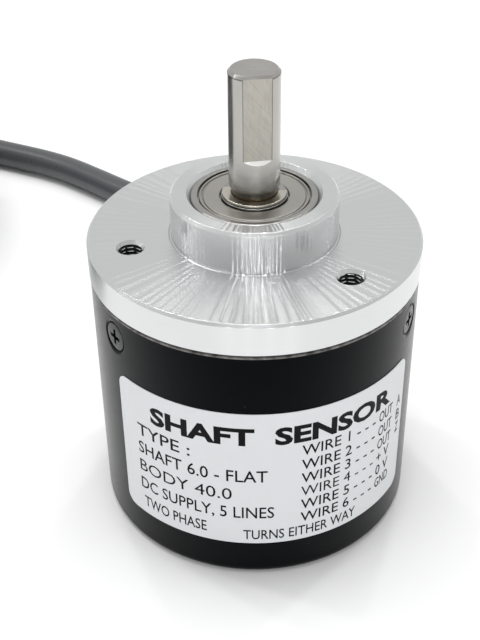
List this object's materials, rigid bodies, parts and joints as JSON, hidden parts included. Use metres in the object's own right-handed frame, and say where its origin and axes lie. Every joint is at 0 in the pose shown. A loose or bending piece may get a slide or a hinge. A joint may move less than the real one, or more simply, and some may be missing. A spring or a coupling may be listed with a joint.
{
  "type": "rotary encoder",
  "caption": "Round-bodied incremental rotary encoder: flanged aluminium front with pilot boss, flatted solid shaft, black cover and a side cable wound into a coil.",
  "frame": {"origin": "centre of the flat rear face of the cover, on the shaft's axis", "axes": "+Z along the shaft towards its free end, -Y through the middle of the label, +Y through the cable outlet"},
  "size_m": [0.138, 0.1285, 0.0581],
  "materials": {
    "turned_aluminium": "fine circular turning marks, bright",
    "black_cover": "smooth satin-gloss black",
    "black_screw": "black oxide, slightly glossy",
    "label_film": "silver-white film, satin",
    "ground_shaft": "ground, slightly warm on the flat",
    "bearing_steel": "ground and polished",
    "shield_steel": "pressed sheet, satin",
    "spring_steel": "dark spring steel",
    "cage_brass": "satin",
    "machined_brass": "turned",
    "disc_glass": "clear, polished",
    "dark_plastic": "moulded",
    "clear_epoxy": "clear, slightly blue",
    "chip_resin": "moulded resin",
    "board_laminate": "green solder resist",
    "capacitor_sleeve": "shrunk sleeve",
    "white_nylon": "natural nylon",
    "gland_rubber": "matt moulded rubber",
    "cable_jacket": "dark slate, satin PVC",
    "tie_nylon": "black nylon",
    "lead_black_insulation": "PVC",
    "lead_white_insulation": "PVC",
    "lead_orange_insulation": "PVC",
    "lead_brown_insulation": "PVC",
    "lead_blue_insulation": "PVC",
    "shield_braid": "twisted tinned strands"
  },
  "bodies": {
    "housing": {"mounting_flange": "turned_aluminium", "cover": "black_cover", "cover_screw_1": "black_screw", "cover_screw_2": "black_screw", "cover_screw_3": "black_screw", "rating_label": "label_film", "front_outer_race": "bearing_steel", "front_upper_shield": "shield_steel", "front_lower_shield": "shield_steel", "rear_outer_race": "bearing_steel", "rear_upper_shield": "shield_steel", "rear_lower_shield": "shield_steel", "preload_wave_washer": "spring_steel", "emitter_holder": "dark_plastic", "infrared_emitter": "clear_epoxy", "photo_sensor": "chip_resin", "scanning_reticle": "disc_glass", "circuit_board": "board_laminate", "board_screw_1": "black_screw", "board_screw_2": "black_screw", "board_screw_3": "black_screw", "line_driver_chip": "chip_resin", "smoothing_capacitor": "capacitor_sleeve", "wire_connector": "white_nylon", "cable_gland": "gland_rubber", "crimp_band": "spring_steel", "core_bundle": "white_nylon", "cable": "cable_jacket", "cable_coil": "cable_jacket", "coil_tie": "tie_nylon", "lead_black": "lead_black_insulation", "lead_white": "lead_white_insulation", "lead_orange": "lead_orange_insulation", "lead_brown": "lead_brown_insulation", "lead_blue": "lead_blue_insulation", "lead_shield": "shield_braid"},
    "rotor": {"shaft": "ground_shaft", "front_retaining_ring": "spring_steel", "rear_retaining_ring": "spring_steel", "front_inner_race": "bearing_steel", "rear_inner_race": "bearing_steel", "disc_hub": "machined_brass", "code_disc": "disc_glass", "disc_clamp_ring": "machined_brass"},
    "front_balls": {"front_ball_cage": "cage_brass", "front_ball_1": "bearing_steel", "front_ball_2": "bearing_steel", "front_ball_3": "bearing_steel", "front_ball_4": "bearing_steel", "front_ball_5": "bearing_steel", "front_ball_6": "bearing_steel", "front_ball_7": "bearing_steel"},
    "rear_balls": {"rear_ball_cage": "cage_brass", "rear_ball_1": "bearing_steel", "rear_ball_2": "bearing_steel", "rear_ball_3": "bearing_steel", "rear_ball_4": "bearing_steel", "rear_ball_5": "bearing_steel", "rear_ball_6": "bearing_steel", "rear_ball_7": "bearing_steel"}
  },
  "joints": [
    {"name": "shaft_spin", "type": "hinge", "parent": "housing", "child": "rotor", "pos_m": [0, 0, 0.0377], "axis": [0, 0, 1], "continuous": true},
    {"name": "front_cage_spin", "type": "hinge", "parent": "housing", "child": "front_balls", "pos_m": [0, 0, 0.0401], "axis": [0, 0, 1], "continuous": true},
    {"name": "rear_cage_spin", "type": "hinge", "parent": "housing", "child": "rear_balls", "pos_m": [0, 0, 0.0251], "axis": [0, 0, 1], "continuous": true}
  ],
  "couplings": [
    {"joint": "front_cage_spin", "follows": "shaft_spin", "ratio": 0.3867},
    {"joint": "rear_cage_spin", "follows": "shaft_spin", "ratio": 0.3867}
  ]
}
